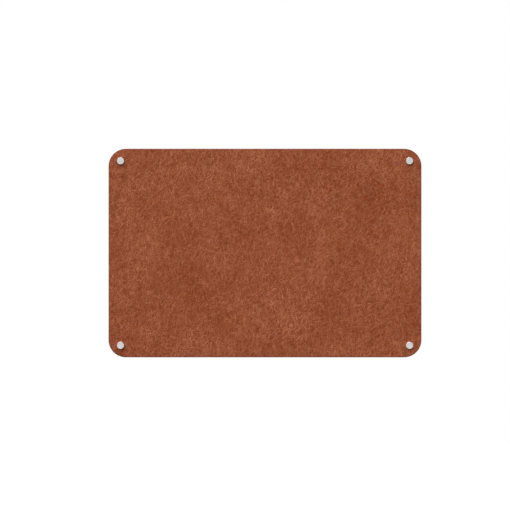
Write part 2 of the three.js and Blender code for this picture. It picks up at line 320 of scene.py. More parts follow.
# %% [markdown]
# Then the strands are laid over the clouds, tufts first and fine fibres last. Bending the coordinates
# before the noise is stretched makes the strands curl. The mat lies in layers parallel to the faces,
# which the cut edge shows, so every strand is thin along the depth. Only the fine fibres stand up far
# enough to catch light, so they alone are summed up as the relief.

# %% Felt strands
LAYER_DEPTH = 0.8
CURLS = (
    # strands, then the size of a curl and how far it bends them
    (TUFTS, 14 * MM, 14 * MM),
    (FINE_FIBRES, 4 * MM, 3.5 * MM),
)

relief = 0.0
for strands, curl_size, curl in CURLS:
    bend = add(tree, "ShaderNodeTexNoise", {"Vector": place, "Scale": 1 / curl_size, "Detail": 1.0})
    bend = add(tree, "ShaderNodeVectorMath", {0: bend.outputs["Color"], 1: (0.5, 0.5, 0.5)},
               operation="SUBTRACT")
    bend = add(tree, "ShaderNodeVectorMath", {0: bend, 1: (curl, 0.0, curl), 2: place},
               operation="MULTIPLY_ADD")
    for number, (direction, long, wide, shade, share, begin, full) in enumerate(strands):
        laid = add(tree, "ShaderNodeMapping",
                   {"Vector": bend, "Location": (number, 0.0, number),
                    "Rotation": (0.0, math.radians(direction), 0.0),
                    "Scale": (long * MM, LAYER_DEPTH * MM, wide * MM)}, vector_type="TEXTURE")
        strand = add(tree, "ShaderNodeTexNoise", {"Vector": laid, "Scale": 1.0, "Detail": 1.0})
        strand = add(tree, "ShaderNodeMapRange", {"Value": strand, "From Min": begin, "From Max": full})
        amount = add(tree, "ShaderNodeMath", {0: strand, 1: share}, operation="MULTIPLY")
        if shade == FELT_LIGHT:
            amount = add(tree, "ShaderNodeMath", {0: amount, 1: plenty}, operation="MULTIPLY")
        colour = add(tree, "ShaderNodeMix", {0: amount, 6: colour, 7: linear(shade)},
                     data_type="RGBA").outputs[2]
        if strands is FINE_FIBRES:
            relief = add(tree, "ShaderNodeMath", {0: relief, 1: strand}, operation="ADD")
print("felt material so far:", len(tree.nodes), "nodes")

# %% [markdown]
# The felt's colour is made darker along both rims of the cut edge, and a little darker on the cut
# between them. The board is the same in all four quarters, so a place is folded into one of them. How
# far it then lies past the core, the rectangle between the middles of the corner arcs, tells how near
# the outline is. The recipes for the slab and its fibres need that too, so it is a function.

# %% Cut edge and relief of the felt
CORNER_RADIUS = 50 * MM
RIM_BAND = 2.6 * MM
RIM_SHADE = "#3A190D"
RIM_BETWEEN, RIM_FULL = 0.25, 0.95
FIBRE_RELIEF = 0.08 * MM


def past_core(tree, place, core):
    """Folds a place into one quarter, and measures how far past the core it lies."""
    quadrant = add(tree, "ShaderNodeVectorMath", {0: place}, operation="ABSOLUTE")
    past = add(tree, "ShaderNodeVectorMath", {0: quadrant, 1: core}, operation="SUBTRACT")
    past = add(tree, "ShaderNodeVectorMath", {0: past, 1: (0.0, 0.0, 0.0)}, operation="MAXIMUM")
    out = add(tree, "ShaderNodeVectorMath", {0: past}, operation="LENGTH").outputs["Value"]
    return quadrant, past, out


flat = add(tree, "ShaderNodeVectorMath", {0: place, 1: (1.0, 0.0, 1.0)}, operation="MULTIPLY")
core = (board_size.x / 2 - CORNER_RADIUS, 0.0, board_size.z / 2 - CORNER_RADIUS)
rim = add(tree, "ShaderNodeMapRange", {"Value": past_core(tree, flat, core)[-1],
                                       "From Min": CORNER_RADIUS - RIM_BAND, "From Max": CORNER_RADIUS})
# How much darker the colour is made, from the middle of the cut out to either face.
depth = add(tree, "ShaderNodeSeparateXYZ", {0: place}).outputs["Y"]
depth = add(tree, "ShaderNodeMath", {0: depth, 1: board_middle.y}, operation="SUBTRACT")
depth = add(tree, "ShaderNodeMath", {0: depth}, operation="ABSOLUTE")
rim_by_depth = add(tree, "ShaderNodeMapRange", {"Value": depth, "From Min": board_size.y / 2 - RIM_BAND,
                                         "From Max": board_size.y / 2, "To Min": RIM_BETWEEN,
                                         "To Max": RIM_FULL})
rim = add(tree, "ShaderNodeMath", {0: rim, 1: rim_by_depth}, operation="MULTIPLY")
colour = add(tree, "ShaderNodeMix", {0: rim, 6: colour, 7: linear(RIM_SHADE)},
             data_type="RGBA").outputs[2]
tree.links.new(colour, shader.inputs["Base Color"])
bump = add(tree, "ShaderNodeBump", {"Height": relief, "Distance": FIBRE_RELIEF, "Strength": 0.8})
tree.links.new(bump.outputs[0], shader.inputs["Normal"])
print(felt.name, "has", len(tree.nodes), "nodes")

# %% [markdown]
# ## Aluminium
# The caps and barrels are turned on a lathe, etched and anodised in a natural silver. The eye sees a
# pale, even grey, a soft satin highlight from the etch, and a faint stretch of that highlight across
# the fine rings that the turning leaves round the axis. An anisotropic shader could fake the rings, but
# it needs a direction on every face, while a ring in the relief works on any turned piece. The rings
# are read from the piece's own place on its axis, kept as an attribute called turned, because each
# standoff stands in another corner. Real feed marks are about 0.1 mm apart and the pits of the etch a
# few hundredths wide. They are drawn 0.4 and 0.5 mm wide, as finer ones don't show.

# %% Turned aluminium
FEED = 0.4 * MM
FEED_RELIEF = 0.005 * MM
ETCH_SIZE = 0.5 * MM
SATIN_LOW, SATIN_HIGH = 0.28, 0.36
ALUMINIUM_DIM, ALUMINIUM_BRIGHT = "#BEBCBB", "#C9C7C5"

aluminium, tree, shader = plain_material("turned and anodised aluminium", ALUMINIUM_DIM, Metallic=1.0)
turned_place = add(tree, "ShaderNodeAttribute", attribute_name="turned").outputs["Vector"]
split = add(tree, "ShaderNodeSeparateXYZ", {0: turned_place})
from_axis = add(tree, "ShaderNodeCombineXYZ", {"X": split.outputs["X"], "Z": split.outputs["Z"]})
radius = add(tree, "ShaderNodeVectorMath", {0: from_axis}, operation="LENGTH").outputs["Value"]
travelled = add(tree, "ShaderNodeMath", {0: radius, 1: split.outputs["Y"]}, operation="ADD")
turns = add(tree, "ShaderNodeMath", {0: travelled, 1: math.tau / FEED}, operation="MULTIPLY")
ridge = add(tree, "ShaderNodeMath", {0: turns}, operation="SINE")
bump = add(tree, "ShaderNodeBump", {"Height": ridge, "Distance": FEED_RELIEF, "Strength": 0.5})
tree.links.new(bump.outputs[0], shader.inputs["Normal"])
etch = add(tree, "ShaderNodeTexNoise", {"Vector": turned_place, "Scale": 1 / ETCH_SIZE, "Detail": 2.0})
satin = add(tree, "ShaderNodeMapRange", {"Value": etch, "To Min": SATIN_LOW, "To Max": SATIN_HIGH})
tree.links.new(satin.outputs[0], shader.inputs["Roughness"])
tint = add(tree, "ShaderNodeMix", {0: etch, 6: linear(ALUMINIUM_DIM), 7: linear(ALUMINIUM_BRIGHT)},
           data_type="RGBA").outputs[2]
tree.links.new(tint, shader.inputs["Base Color"])
print(aluminium.name, "with rings", round(FEED / MM, 2), "mm apart")

# %% [markdown]
# ## Steel and plastics
# Screws and studs are rolled from steel wire and zinc-plated, which gives a cool grey with a faint
# cloudiness. The rings between metal and felt are injection-moulded from polyethylene, which looks
# milky, as some light goes in and comes out again. The plugs in the wall are moulded from nylon, which
# looks grey and matt. One colour each would do, but a slow drift in shade and roughness keeps them from
# looking painted. The mould's spark-eroded grain and the plating's crystals are a few hundredths of a
# millimetre wide, and are drawn at 0.3 mm, as finer ones don't show.

# %% Steel and plastics
GRAIN_SIZE = 0.3 * MM


def clouded(name, shades, drift_size, rough, grain_relief, **inputs):
    """A material that drifts between two shades and two roughnesses, and has a fine grain."""
    material, tree, shader = plain_material(name, shades[0], **inputs)
    place = add(tree, "ShaderNodeAttribute", attribute_name="turned").outputs["Vector"]
    drift = add(tree, "ShaderNodeTexNoise", {"Vector": place, "Scale": 1 / drift_size, "Detail": 3.0})
    shade = add(tree, "ShaderNodeMix", {0: drift, 6: linear(shades[0]), 7: linear(shades[1])},
                data_type="RGBA")
    tree.links.new(shade.outputs[2], shader.inputs["Base Color"])
    matt = add(tree, "ShaderNodeMapRange", {"Value": drift, "To Min": rough[0], "To Max": rough[1]})
    tree.links.new(matt.outputs[0], shader.inputs["Roughness"])
    grain = add(tree, "ShaderNodeTexNoise", {"Vector": place, "Scale": 1 / GRAIN_SIZE, "Detail": 1.0})
    bump = add(tree, "ShaderNodeBump", {"Height": grain, "Distance": grain_relief, "Strength": 0.5})
    tree.links.new(bump.outputs[0], shader.inputs["Normal"])
    print(name, "drifts between", *shades)
    return material


steel = clouded("zinc-plated steel", ("#AEB2B5", "#C6C8C6"), 2.0 * MM, (0.29, 0.42), 0.005 * MM,
                Metallic=1.0)
milky = clouded("milky moulded polyethylene", ("#D8DDDE", "#E6E9E9"), 3.0 * MM, (0.42, 0.55),
                0.01 * MM, IOR=1.51, Subsurface_Weight=0.2, Subsurface_Radius=(1.0, 1.0, 1.0),
                Subsurface_Scale=0.8 * MM)
nylon = clouded("grey moulded nylon", ("#919496", "#A3A6A8"), 4.0 * MM, (0.5, 0.65), 0.015 * MM,
                IOR=1.53)

# %% [markdown]
# ## Geometry Nodes from a script
# A tree is a recipe with named inputs. One helper starts it. Another ends it: instances become real
# geometry, as an export would drop them, and the material goes on.

# %% Start and end a recipe
SOCKETS = {float: "NodeSocketFloat", int: "NodeSocketInt"}


def new_recipe(name, **sizes):
    """A Geometry Nodes tree whose inputs are the given names, with underscores as spaces."""
    tree = bpy.data.node_groups.new(name, "GeometryNodeTree")
    for in_out in ("INPUT", "OUTPUT"):
        tree.interface.new_socket("Geometry", in_out=in_out, socket_type="NodeSocketGeometry")
    for label, value in sizes.items():
        socket = tree.interface.new_socket(label.replace("_", " "), in_out="INPUT",
                                           socket_type=SOCKETS[type(value)])
        socket.default_value = value
    tree.interface.new_socket("Material", in_out="INPUT", socket_type="NodeSocketMaterial")
    return tree, tree.nodes.new("NodeGroupInput").outputs


def finish_recipe(recipe, given, shape):
    """Ends a recipe in real geometry that carries the given material."""
    shape = add(recipe, "GeometryNodeRealizeInstances", {"Geometry": shape})
    shape = add(recipe, "GeometryNodeSetMaterial", {"Geometry": shape, "Material": given["Material"]})
    add(recipe, "NodeGroupOutput", {"Geometry": shape})
    print("recipe for a", recipe.name, "with", len(recipe.nodes), "nodes")


print("a recipe's inputs can be", [kind.__name__ for kind in SOCKETS], "and a material")

# %% [markdown]
# A recipe is put on a new object and gets its inputs. A modifier knows an input only by its identifier,
# so the name is looked up first. The result then becomes a plain mesh, which is all that a renderer or
# another program needs, and the modifier goes.

# %% Follow a recipe
def settled(piece):
    """Turns what an object's modifiers make into its plain mesh."""
    bpy.context.view_layer.update()
    depsgraph = bpy.context.evaluated_depsgraph_get()
    mesh = bpy.data.meshes.new_from_object(piece.evaluated_get(depsgraph),
                                           preserve_all_data_layers=True, depsgraph=depsgraph)
    piece.modifiers.clear()
    piece.data = mesh
    mesh.name = piece.name
    return piece


def made(name, recipe, material, **sizes):
    """A new piece from a recipe."""
    piece = shown(name, bpy.data.meshes.new(name))
    modifier = piece.modifiers.new("recipe", "NODES")
    modifier.node_group = recipe
    known = {item.name: item.identifier for item in recipe.interface.items_tree
             if item.in_out == "INPUT"}
    for label, value in sizes.items():
        modifier[known[label.replace("_", " ")]] = value
    modifier[known["Material"]] = material
    return settled(piece)


print("materials ready for the recipes:", felt.name, "and", steel.name)

# %% [markdown]
# ## The board
# On the real object it is a slab cut from a thick mat, so its outline and holes follow a rule while its
# faces are never quite flat. A filled curve would be the shortest way, but it has no points inside to
# carry the unevenness. A cube with many faces gives a closed slab that has them. Its inputs are metres.

# %% Slab recipe: a block with many faces
recipe, given = new_recipe(
    "felt slab", Width=0.9, Height=0.6, Thickness=0.012, Corner_Radius=0.05, Cell=0.005,
    Hole_Across=0.83, Hole_Up=0.53, Hole_Radius=0.0055, Flat_Radius=0.014, Rim=0.005,
    Wave_Height=0.0002, Wave_Size=0.02)
size = add(recipe, "ShaderNodeCombineXYZ", {"X": given["Width"], "Y": given["Thickness"],
                                            "Z": given["Height"]})
cells = add(recipe, "ShaderNodeVectorMath", {0: size, 1: given["Cell"]}, operation="DIVIDE")
cells = add(recipe, "ShaderNodeSeparateXYZ", {0: cells})
across = add(recipe, "ShaderNodeMath", {0: cells.outputs["X"], 1: 1.0}, operation="ADD")
upward = add(recipe, "ShaderNodeMath", {0: cells.outputs["Z"], 1: 1.0}, operation="ADD")
block = add(recipe, "GeometryNodeMeshCube", {"Size": size, "Vertices X": across, "Vertices Y": 3,
                                             "Vertices Z": upward})
print(recipe.name, "so far:", len(recipe.nodes), "nodes")

# %% [markdown]
# In each corner the square stretch of grid is squeezed into a quarter disc. A point keeps its place
# along its square ring, and the ring becomes an arc: the square's distance, the larger of the two
# sides, takes the place of the true distance. A bevel on the four short edges would round them too, but
# it would leave long, thin faces across the slab. The fibres below share the fold into one quarter, but
# lie on a sheet that is turned upright only at the end, so the helper is told which axis is up.

# %% Slab recipe: round corners
def in_quarter(recipe, given, place, up):
    """Folds a place into one quarter of the board, and measures it from the outline and the hole."""
    size = add(recipe, "ShaderNodeCombineXYZ", {"X": given["Width"], up: given["Height"]})
    half = add(recipe, "ShaderNodeVectorMath", {0: size, "Scale": 0.5}, operation="SCALE")
    corner = add(recipe, "ShaderNodeCombineXYZ", {"X": given["Corner Radius"], up: given["Corner Radius"]})
    core = add(recipe, "ShaderNodeVectorMath", {0: half, 1: corner}, operation="SUBTRACT")
    quadrant, past, out = past_core(recipe, place, core)
    hole = add(recipe, "ShaderNodeCombineXYZ", {"X": given["Hole Across"], up: given["Hole Up"]})
    hole = add(recipe, "ShaderNodeVectorMath", {0: hole, "Scale": 0.5}, operation="SCALE")
    from_hole = add(recipe, "ShaderNodeVectorMath", {0: quadrant, 1: hole},
                    operation="DISTANCE").outputs["Value"]
    return out, from_hole, quadrant, core, past


position = add(recipe, "GeometryNodeInputPosition")
flat = add(recipe, "ShaderNodeVectorMath", {0: position, 1: (1.0, 0.0, 1.0)}, operation="MULTIPLY")
depth = add(recipe, "ShaderNodeVectorMath", {0: position, 1: (0.0, 1.0, 0.0)}, operation="MULTIPLY")
side = add(recipe, "ShaderNodeVectorMath", {0: flat}, operation="SIGN")
out, from_hole, quadrant, core, past = in_quarter(recipe, given, flat, "Z")
past_axes = add(recipe, "ShaderNodeSeparateXYZ", {0: past})
ring = add(recipe, "ShaderNodeMath", {0: past_axes.outputs["X"], 1: past_axes.outputs["Z"]},
           operation="MAXIMUM")
squeeze = add(recipe, "ShaderNodeMath", {0: ring, 1: out}, operation="DIVIDE")
arc = add(recipe, "ShaderNodeVectorMath", {0: past, "Scale": squeeze}, operation="SCALE")
kept = add(recipe, "ShaderNodeVectorMath", {0: quadrant, 1: core}, operation="MINIMUM")
rounded = add(recipe, "ShaderNodeVectorMath", {0: kept, 1: arc}, operation="ADD")
rounded = add(recipe, "ShaderNodeVectorMath", {0: rounded, 1: side}, operation="MULTIPLY")
rounded = add(recipe, "ShaderNodeVectorMath", {0: rounded, 1: depth}, operation="ADD")
slab = add(recipe, "GeometryNodeSetPosition", {"Geometry": block, "Position": rounded})
print(recipe.name, "so far:", len(recipe.nodes), "nodes")

# %% [markdown]
# A slow noise lifts the faces by a tenth of a millimetre or so, as a pressed mat springs back unevenly.
# It fades out towards the outline, which stays straight, and round the holes, where the washers press
# the felt flat. Each of the two gives a number that falls from 1 to 0, and the noise is multiplied by
# both.

# %% Slab recipe: uneven faces
FLAT_FADE = 1.5
flat_end = add(recipe, "ShaderNodeMath", {0: given["Flat Radius"], 1: FLAT_FADE}, operation="MULTIPLY")
by_hole = add(recipe, "ShaderNodeMapRange", {"Value": from_hole, "From Min": given["Flat Radius"],
                                             "From Max": flat_end})
rim_start = add(recipe, "ShaderNodeMath", {0: given["Corner Radius"], 1: given["Rim"]},
                operation="SUBTRACT")
in_rim = add(recipe, "ShaderNodeMapRange", {"Value": out, "From Min": rim_start,
                                            "From Max": given["Corner Radius"], "To Min": 1.0,
                                            "To Max": 0.0})
free = add(recipe, "ShaderNodeMath", {0: in_rim, 1: by_hole}, operation="MULTIPLY")
fineness = add(recipe, "ShaderNodeMath", {0: 1.0, 1: given["Wave Size"]}, operation="DIVIDE")
waves = add(recipe, "ShaderNodeTexNoise", {"Vector": position, "Scale": fineness, "Detail": 2.0})
waves = add(recipe, "ShaderNodeMath", {0: waves, 1: 0.5}, operation="SUBTRACT")
waves = add(recipe, "ShaderNodeMath", {0: waves, 1: given["Wave Height"]}, operation="MULTIPLY")
waves = add(recipe, "ShaderNodeMath", {0: waves, 1: free}, operation="MULTIPLY")
lift = add(recipe, "ShaderNodeCombineXYZ", {"Y": waves})
slab = add(recipe, "GeometryNodeSetPosition", {"Geometry": slab, "Offset": lift})
print(recipe.name, "so far:", len(recipe.nodes), "nodes")

# %% [markdown]
# The four holes are drilled last: a cylinder stands on each point of a grid of two by two points, which
# is turned to face the front, and a boolean cuts all four out at once. Then the sharp edges of the
# outline are marked, so that a Bevel modifier can soften them. It can't find them by angle alone, since
# the rims of the holes are as sharp and stay so under the washers.

# %% Slab recipe: holes and edges
HOLE_SIDES = 48
SHARP = math.radians(60)
drill = add(recipe, "GeometryNodeMeshCylinder", {"Vertices": HOLE_SIDES, "Radius": given["Hole Radius"],
                                                 "Depth": given["Corner Radius"]})
spots = add(recipe, "GeometryNodeMeshGrid", {"Size X": given["Hole Across"], "Size Y": given["Hole Up"],
                                             "Vertices X": 2, "Vertices Y": 2})
drills = add(recipe, "GeometryNodeInstanceOnPoints", {"Points": spots, "Instance": drill})
drills = add(recipe, "GeometryNodeRealizeInstances", {"Geometry": drills})
drills = add(recipe, "GeometryNodeTransform", {"Geometry": drills, "Rotation": (math.pi / 2, 0.0, 0.0)})
slab = add(recipe, "GeometryNodeMeshBoolean", {"Mesh 1": slab, "Mesh 2": drills},
           operation="DIFFERENCE")
angle = add(recipe, "GeometryNodeInputMeshEdgeAngle").outputs["Unsigned Angle"]
sharp = add(recipe, "ShaderNodeMath", {0: angle, 1: SHARP}, operation="GREATER_THAN")
outer = add(recipe, "ShaderNodeMath", {0: out, 1: rim_start}, operation="GREATER_THAN")
marked = add(recipe, "ShaderNodeMath", {0: sharp, 1: outer}, operation="MULTIPLY")
slab = add(recipe, "GeometryNodeStoreNamedAttribute", {"Geometry": slab, "Name": "bevel_weight_edge",
                                                       "Value": marked}, domain="EDGE")
slab = add(recipe, "GeometryNodeSetShadeSmooth", {"Geometry": slab})
finish_recipe(recipe, given, slab)
slab_recipe = recipe

# %% [markdown]
# The slab is made at the measured size. Felt is soft, so the cut edge has a round of a millimetre and a
# half. The recipe builds the slab round the origin, and its mesh is then moved to the board's place.

# %% Make the board
EDGE_SOFTNESS = 1.5 * MM
EDGE_STEPS = 4
HOLE_RADIUS = 5.5 * MM
OUTLINE = {
    "Width": board_size.x,
    "Height": board_size.z,
    "Corner_Radius": CORNER_RADIUS,
    "Hole_Across": 2 * axes["top_right"].x,
    "Hole_Up": 2 * axes["top_right"].z,
}

panel = made("felt_panel", slab_recipe, felt, Thickness=board_size.y, Hole_Radius=HOLE_RADIUS, **OUTLINE)
softened = panel.modifiers.new("soft edge", "BEVEL")
softened.limit_method = "WEIGHT"
softened.width = EDGE_SOFTNESS
softened.segments = EDGE_STEPS
settled(panel)
panel.data.transform(Matrix.Translation((board_middle.x, board_middle.y, board_middle.z)))
print("board:", len(panel.data.polygons), "faces,", [round(s / MM, 2) for s in panel.dimensions], "mm")
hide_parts("felt_board")
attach(panel, "board")

# %% [markdown]
# ## Fibres on the faces
# On the real felt the outermost fibres lie loose on the mat, in short curls that end in it again. They
# give the eye a fine, uneven nap that catches the light. Relief alone would leave the outline of the
# felt smooth, and a particle system would be lost on export, so each fibre is a real thread. Real ones
# are about 0.03 mm thick. These are ten times as thick and far fewer, as finer ones don't show.
# Polyester felt of this kind is mixed from fibres of a few dyed shades, so each thread gets one of
# three plain materials: buff ones glint, rose brown ones fill in, and chestnut ones are partly a darker
# dye and partly painted shade, standing for the gaps in the mat.

# %% Fibre materials
def fibre_material(shade, colour):
    """A dry, slightly shiny fibre of one shade."""
    material, tree, shader = plain_material(f"polyester fibre dyed {shade}", colour, Roughness=0.8,
                                            Specular_IOR_Level=0.25, Sheen_Weight=0.15)
    return material


FIBRE_SHADES = (
    fibre_material("buff", "#C88668"),
    fibre_material("rose brown", "#9E5A3A"),
    # chestnut threads: a darker dye, and painted shade for the gaps in the mat
    fibre_material("chestnut and painted gap shade", "#783716"),
)
print("fibres in", len(FIBRE_SHADES), "dyed shades")

# %% [markdown]
# The recipe first strews points over a flat face, and lays a straight line of a dozen points on each of
# them, at a random angle and length. A Random Value node for numbers takes the lowest and the highest
# at 2 and 3, and gives its number out at 1. All seeds are counted from one input, so the fibres fall the
# same way each time and differently for each shade. A number called tone stays with each line, to tell
# it from the others.

# %% Fibre recipe: straight lines
recipe, given = new_recipe(
    "lying fibre", Width=0.9, Height=0.6, Corner_Radius=0.05, Inset=0.0015, Count=1000,
    Shortest=0.008, Longest=0.026, Radius=0.00015, Curl=0.009, Curl_Size=0.012, Hole_Across=0.83,
    Hole_Up=0.53, Clear_Radius=0.0095, Points=12, Seed=0)
face = add(recipe, "GeometryNodeMeshGrid", {"Size X": given["Width"], "Size Y": given["Height"],
                                            "Vertices X": 2, "Vertices Y": 2})
area = add(recipe, "ShaderNodeMath", {0: given["Width"], 1: given["Height"]}, operation="MULTIPLY")
density = add(recipe, "ShaderNodeMath", {0: given["Count"], 1: area}, operation="DIVIDE")
strewn = add(recipe, "GeometryNodeDistributePointsOnFaces",
             {"Mesh": face, "Density": density, "Seed": given["Seed"]})
tone = add(recipe, "FunctionNodeRandomValue", {"Seed": given["Seed"]}, data_type="FLOAT").outputs[1]
strewn = add(recipe, "GeometryNodeStoreNamedAttribute",
             {"Geometry": strewn, "Name": "tone", "Value": tone})
line = add(recipe, "GeometryNodeCurvePrimitiveLine", {"Start": (-0.5, 0.0, 0.0), "End": (0.5, 0.0, 0.0)})
line = add(recipe, "GeometryNodeResampleCurve", {"Curve": line, "Count": given["Points"]})
spin_seed = add(recipe, "ShaderNodeMath", {0: given["Seed"], 1: 1.0}, operation="ADD")
spin = add(recipe, "FunctionNodeRandomValue", {3: math.pi, "Seed": spin_seed},
           data_type="FLOAT").outputs[1]
spin = add(recipe, "FunctionNodeAxisAngleToRotation", {"Axis": (0.0, 0.0, 1.0), "Angle": spin})
size_seed = add(recipe, "ShaderNodeMath", {0: given["Seed"], 1: 2.0}, operation="ADD")
length = add(recipe, "FunctionNodeRandomValue", {2: given["Shortest"], 3: given["Longest"],
                                                 "Seed": size_seed}, data_type="FLOAT").outputs[1]
stretch = add(recipe, "ShaderNodeCombineXYZ", {"X": length, "Y": 1.0, "Z": 1.0})
lines = add(recipe, "GeometryNodeInstanceOnPoints", {"Points": strewn, "Instance": line,
                                                     "Rotation": spin, "Scale": stretch})
lines = add(recipe, "GeometryNodeRealizeInstances", {"Geometry": lines})
print(recipe.name, "so far:", len(recipe.nodes), "nodes")

# %% [markdown]
# A noise then bends the lines. If all of them read the same noise, neighbours would curl side by side,
# like combed hair. So the noise has a fourth coordinate, and each line's tone puts it far from the
# others along that. A noise lies between 0 and 1, so half is taken off and the rest is doubled, which
# bends a line by up to the given curl to either side.

# %% Fibre recipe: curls
FAR_APART = 1000.0
DOUBLED = 2.0
position = add(recipe, "GeometryNodeInputPosition")
own_tone = add(recipe, "GeometryNodeInputNamedAttribute", {"Name": "tone"}, data_type="FLOAT")
own_place = add(recipe, "ShaderNodeMath", {0: own_tone, 1: FAR_APART}, operation="MULTIPLY")
fineness = add(recipe, "ShaderNodeMath", {0: 1.0, 1: given["Curl Size"]}, operation="DIVIDE")
bend = add(recipe, "ShaderNodeTexNoise", {"Vector": position, "W": own_place, "Scale": fineness,
                                          "Detail": 0.0}, noise_dimensions="4D")
bend = add(recipe, "ShaderNodeVectorMath", {0: bend.outputs["Color"], 1: (0.5, 0.5, 0.5)},
           operation="SUBTRACT")
reach = add(recipe, "ShaderNodeCombineXYZ", {"X": given["Curl"], "Y": given["Curl"]})
bend = add(recipe, "ShaderNodeVectorMath", {0: bend, 1: reach}, operation="MULTIPLY")
bend = add(recipe, "ShaderNodeVectorMath", {0: bend, "Scale": DOUBLED}, operation="SCALE")
lines = add(recipe, "GeometryNodeSetPosition", {"Geometry": lines, "Offset": bend})
print(recipe.name, "so far:", len(recipe.nodes), "nodes")

# %% [markdown]
# What passes the outline or lies under a washer is cut off, as the blade and the washers do. The same
# fold into one quarter as in the slab tells both. A line that is left with fewer than three points is
# a crumb, and goes as well. Point counts are whole numbers, and half a point less compares them safely.

# %% Fibre recipe: cut off what sticks out
FEWEST_POINTS = 3
out, from_hole, *_ = in_quarter(recipe, given, position, "Y")
limit = add(recipe, "ShaderNodeMath", {0: given["Corner Radius"], 1: given["Inset"]},
            operation="SUBTRACT")
outside = add(recipe, "ShaderNodeMath", {0: out, 1: limit}, operation="GREATER_THAN")
pressed = add(recipe, "ShaderNodeMath", {0: from_hole, 1: given["Clear Radius"]},
              operation="LESS_THAN")
gone = add(recipe, "ShaderNodeMath", {0: outside, 1: pressed}, operation="MAXIMUM")
lines = add(recipe, "GeometryNodeDeleteGeometry", {"Geometry": lines, "Selection": gone}, domain="POINT")
left = add(recipe, "GeometryNodeSplineLength").outputs["Point Count"]
crumb = add(recipe, "ShaderNodeMath", {0: left, 1: FEWEST_POINTS - 0.5}, operation="LESS_THAN")
lines = add(recipe, "GeometryNodeDeleteGeometry", {"Geometry": lines, "Selection": crumb},
            domain="CURVE")
print(recipe.name, "so far:", len(recipe.nodes), "nodes")

# %% [markdown]
# Each line is thinner towards its ends, where it also dips into the mat, so that no blunt end lies on
# top. All of these lengths are shares of the fibre's length or radius. A tube with three sides then
# follows the line, which is enough for a thread that is thinner than a pixel.

# %% Fibre recipe: threads that dip in at both ends
TIP_SHARE, TIP_RADIUS = 0.2, 0.3
DIP_SHARE, DIP, RISE = 0.3, 0.8, 0.2
along = add(recipe, "GeometryNodeSplineParameter").outputs["Factor"]
from_end = add(recipe, "ShaderNodeMath", {0: along, 1: 0.5}, operation="PINGPONG")
taper = add(recipe, "ShaderNodeMapRange", {"Value": from_end, "From Max": TIP_SHARE,
                                           "To Min": TIP_RADIUS})
thickness = add(recipe, "ShaderNodeMath", {0: taper, 1: given["Radius"]}, operation="MULTIPLY")
height = add(recipe, "ShaderNodeMapRange", {"Value": from_end, "From Max": DIP_SHARE, "To Min": -DIP,
                                            "To Max": RISE})
height = add(recipe, "ShaderNodeMath", {0: height, 1: given["Radius"]}, operation="MULTIPLY")
height = add(recipe, "ShaderNodeCombineXYZ", {"Z": height})
lines = add(recipe, "GeometryNodeSetPosition", {"Geometry": lines, "Offset": height})
section = add(recipe, "GeometryNodeCurvePrimitiveCircle", {"Resolution": 3, "Radius": 1.0})
threads = add(recipe, "GeometryNodeCurveToMesh", {"Curve": lines, "Profile Curve": section,
                                                  "Scale": thickness, "Fill Caps": True})
threads = add(recipe, "GeometryNodeSetShadeSmooth", {"Geometry": threads})
threads = add(recipe, "GeometryNodeTransform", {"Geometry": threads,
                                                "Rotation": (math.pi / 2, 0.0, 0.0)})
finish_recipe(recipe, given, threads)
fibre_recipe = recipe

# %% [markdown]
# Each face gets one piece for each shade, which keeps every piece small enough to export whole. The
# front has about twice as many fibres, since the back is seen less. The recipe's face looks towards -Y,
# as the front does, so the back one is turned half round.

# %% Lay the fibres
SEED_STEP = 10
FACES = (
    # name, depth, turn, first seed, and how many fibres of each shade
    ("front", board_low.y, 0.0, 0, (2400, 2600, 2000)),
    ("back", board_high.y, math.pi, 100, (1200, 1400, 1000)),
)

for face_name, level, turn, first_seed, counts in FACES:
    for number, (count, material) in enumerate(zip(counts, FIBRE_SHADES)):
        fibres = made(f"felt_fibres_{face_name}_{number + 1}", fibre_recipe, material, Count=count,
                      Seed=first_seed + SEED_STEP * number, **OUTLINE)
        fibres.data.transform(Matrix.Rotation(turn, 4, "Z"))
        fibres.data.transform(Matrix.Translation((board_middle.x, level, board_middle.z)))
        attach(fibres, "board")
        print(fibres.name, len(fibres.data.polygons), "faces")

# %% [markdown]
# ## Turned pieces
# Caps, barrels and washers come off a lathe or out of a round mould, so an outline spun about the axis
# is the whole piece. No real edge is sharp: a deburred or moulded edge is a small round that catches a
# thin line of light. So each corner of an outline carries the size of its round, which becomes a short
# curve before the spin. A Bevel modifier would round all edges alike. Outlines are written in
# millimetres as radius, depth and round, anticlockwise with the radius to the right and the depth
# upwards.

# %% Soften an outline
ROUND_STEPS = 4


def softened_outline(outline):
    """Turns each corner that has a round into points on a curve that leaves both of its sides."""
    points = []
    for index, (radius, y, round_by) in enumerate(outline):
        here = Vector((radius, y))
        if not round_by:
            points.append(here)
            continue
        before = Vector(outline[index - 1][:2])
        after = Vector(outline[(index + 1) % len(outline)][:2])
        back, on = (before - here).normalized(), (after - here).normalized()
        reach = round_by / math.tan(back.angle(on) / 2)
        for step in range(ROUND_STEPS + 1):
            share = step / ROUND_STEPS
            first = (here + back * reach).lerp(here, share)
            points.append(first.lerp(here.lerp(here + on * reach, share), share))
    return points


print("each round is drawn in", ROUND_STEPS, "steps")

# %% [markdown]
# The spin closes the shell, but it leaves points on each other where it ends and on the axis, and can
# turn the shell inside out. So the points are merged first, and the faces are turned outwards after
# that. Booleans leave such points too, and go through the same helper.

# %% Spin an outline
SAME_PLACE = 0.0005 * MM


def cleaned(mesh):
    """Merges the points that a spin or a cut leaves on each other, and turns all faces outwards."""
    body = bmesh.new()
    body.from_mesh(mesh)
    bmesh.ops.remove_doubles(body, verts=body.verts, dist=SAME_PLACE)
    bmesh.ops.dissolve_degenerate(body, edges=body.edges, dist=SAME_PLACE)
    bmesh.ops.recalc_face_normals(body, faces=body.faces)
    body.to_mesh(mesh)
    body.free()
    return mesh


